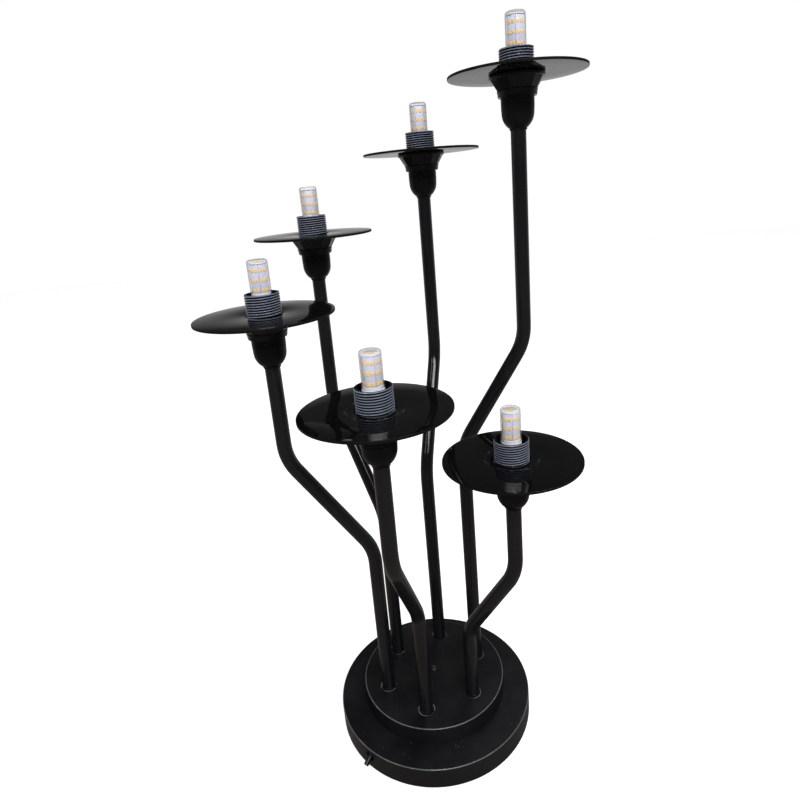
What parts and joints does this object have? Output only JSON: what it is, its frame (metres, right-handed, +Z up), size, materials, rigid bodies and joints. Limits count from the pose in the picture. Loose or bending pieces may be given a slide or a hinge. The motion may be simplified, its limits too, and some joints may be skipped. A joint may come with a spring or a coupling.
{
  "type": "tree floor lamp",
  "caption": "Low tree lamp: bent tubes rise in a spiral from a two-tier round base, each with a threaded lampholder, a loose mirror disc and an LED capsule bulb.",
  "frame": {"origin": "on the floor under the middle of the round base", "axes": "+Z up, -Y towards the front (the side that the picture shows), +X to the right"},
  "size_m": [0.3289, 0.3254, 0.6401],
  "materials": {
    "satin_black": "satin black powder coat",
    "tube_black": "satin black powder coat",
    "holder_black": "smooth semi-gloss black",
    "cast_ballast": "raw casting",
    "steel": "zinc plated",
    "switch_black": "moulded black",
    "lever_black": "smooth black",
    "felt_black": "thin black felt",
    "lead_sheath": "PVC sheath",
    "terminal_plastic": "moulded",
    "ceramic": "unglazed ceramic",
    "mirror_black": "polished black mirror on both faces",
    "bulb_white": "white moulding and white boards",
    "bulb_clear": "clear"
  },
  "bodies": {
    "lamp": {"arm_nipples": "steel", "arm_nuts": "steel", "arm_tube_1": "tube_black", "arm_tube_2": "tube_black", "arm_tube_3": "tube_black", "arm_tube_4": "tube_black", "arm_tube_5": "tube_black", "arm_tube_6": "tube_black", "ballast": "cast_ballast", "base_felt": "felt_black", "bottom_plate": "satin_black", "centre_screw": "steel", "holder_cup_1": "holder_black", "holder_cup_2": "holder_black", "holder_cup_3": "holder_black", "holder_cup_4": "holder_black", "holder_cup_5": "holder_black", "holder_cup_6": "holder_black", "holder_nipples": "steel", "holder_nuts": "steel", "holder_skirt_1": "holder_black", "holder_skirt_2": "holder_black", "holder_skirt_3": "holder_black", "holder_skirt_4": "holder_black", "holder_skirt_5": "holder_black", "holder_skirt_6": "holder_black", "inlet_bushing": "switch_black", "inner_leads": "lead_sheath", "junction_block": "terminal_plastic", "lower_tier": "satin_black", "plate_screws": "steel", "socket_insert_1": "ceramic", "socket_insert_2": "ceramic", "socket_insert_3": "ceramic", "socket_insert_4": "ceramic", "socket_insert_5": "ceramic", "socket_insert_6": "ceramic", "switch_body": "switch_black", "upper_tier": "satin_black"},
    "lever": {"switch_lever": "lever_black"},
    "disc_1": {"shade_disc_1": "mirror_black"},
    "bulb_1": {"led_bulb_1": "bulb_white", "bulb_cover_1": "bulb_clear"},
    "disc_2": {"shade_disc_2": "mirror_black"},
    "bulb_2": {"led_bulb_2": "bulb_white", "bulb_cover_2": "bulb_clear"},
    "disc_3": {"shade_disc_3": "mirror_black"},
    "bulb_3": {"led_bulb_3": "bulb_white", "bulb_cover_3": "bulb_clear"},
    "disc_4": {"shade_disc_4": "mirror_black"},
    "bulb_4": {"led_bulb_4": "bulb_white", "bulb_cover_4": "bulb_clear"},
    "disc_5": {"shade_disc_5": "mirror_black"},
    "bulb_5": {"led_bulb_5": "bulb_white", "bulb_cover_5": "bulb_clear"},
    "disc_6": {"shade_disc_6": "mirror_black"},
    "bulb_6": {"led_bulb_6": "bulb_white", "bulb_cover_6": "bulb_clear"}
  },
  "joints": [
    {"name": "lever_tilt", "type": "hinge", "parent": "lamp", "child": "lever", "pos_m": [-0.06353, -0.06695, 0.0135], "axis": [-0.7254, 0.6884, 0], "range_deg": [0, 66]},
    {"name": "disc_lift_1", "type": "slide", "parent": "lamp", "child": "disc_1", "axis": [0, 0, 1], "range_m": [0, 0.05]},
    {"name": "bulb_pull_1", "type": "slide", "parent": "lamp", "child": "bulb_1", "axis": [0, 0, 1], "range_m": [0, 0.04]},
    {"name": "disc_lift_2", "type": "slide", "parent": "lamp", "child": "disc_2", "axis": [0, 0, 1], "range_m": [0, 0.05]},
    {"name": "bulb_pull_2", "type": "slide", "parent": "lamp", "child": "bulb_2", "axis": [0, 0, 1], "range_m": [0, 0.04]},
    {"name": "disc_lift_3", "type": "slide", "parent": "lamp", "child": "disc_3", "axis": [0, 0, 1], "range_m": [0, 0.05]},
    {"name": "bulb_pull_3", "type": "slide", "parent": "lamp", "child": "bulb_3", "axis": [0, 0, 1], "range_m": [0, 0.04]},
    {"name": "disc_lift_4", "type": "slide", "parent": "lamp", "child": "disc_4", "axis": [0, 0, 1], "range_m": [0, 0.05]},
    {"name": "bulb_pull_4", "type": "slide", "parent": "lamp", "child": "bulb_4", "axis": [0, 0, 1], "range_m": [0, 0.04]},
    {"name": "disc_lift_5", "type": "slide", "parent": "lamp", "child": "disc_5", "axis": [0, 0, 1], "range_m": [0, 0.05]},
    {"name": "bulb_pull_5", "type": "slide", "parent": "lamp", "child": "bulb_5", "axis": [0, 0, 1], "range_m": [0, 0.04]},
    {"name": "disc_lift_6", "type": "slide", "parent": "lamp", "child": "disc_6", "axis": [0, 0, 1], "range_m": [0, 0.05]},
    {"name": "bulb_pull_6", "type": "slide", "parent": "lamp", "child": "bulb_6", "axis": [0, 0, 1], "range_m": [0, 0.04]}
  ]
}
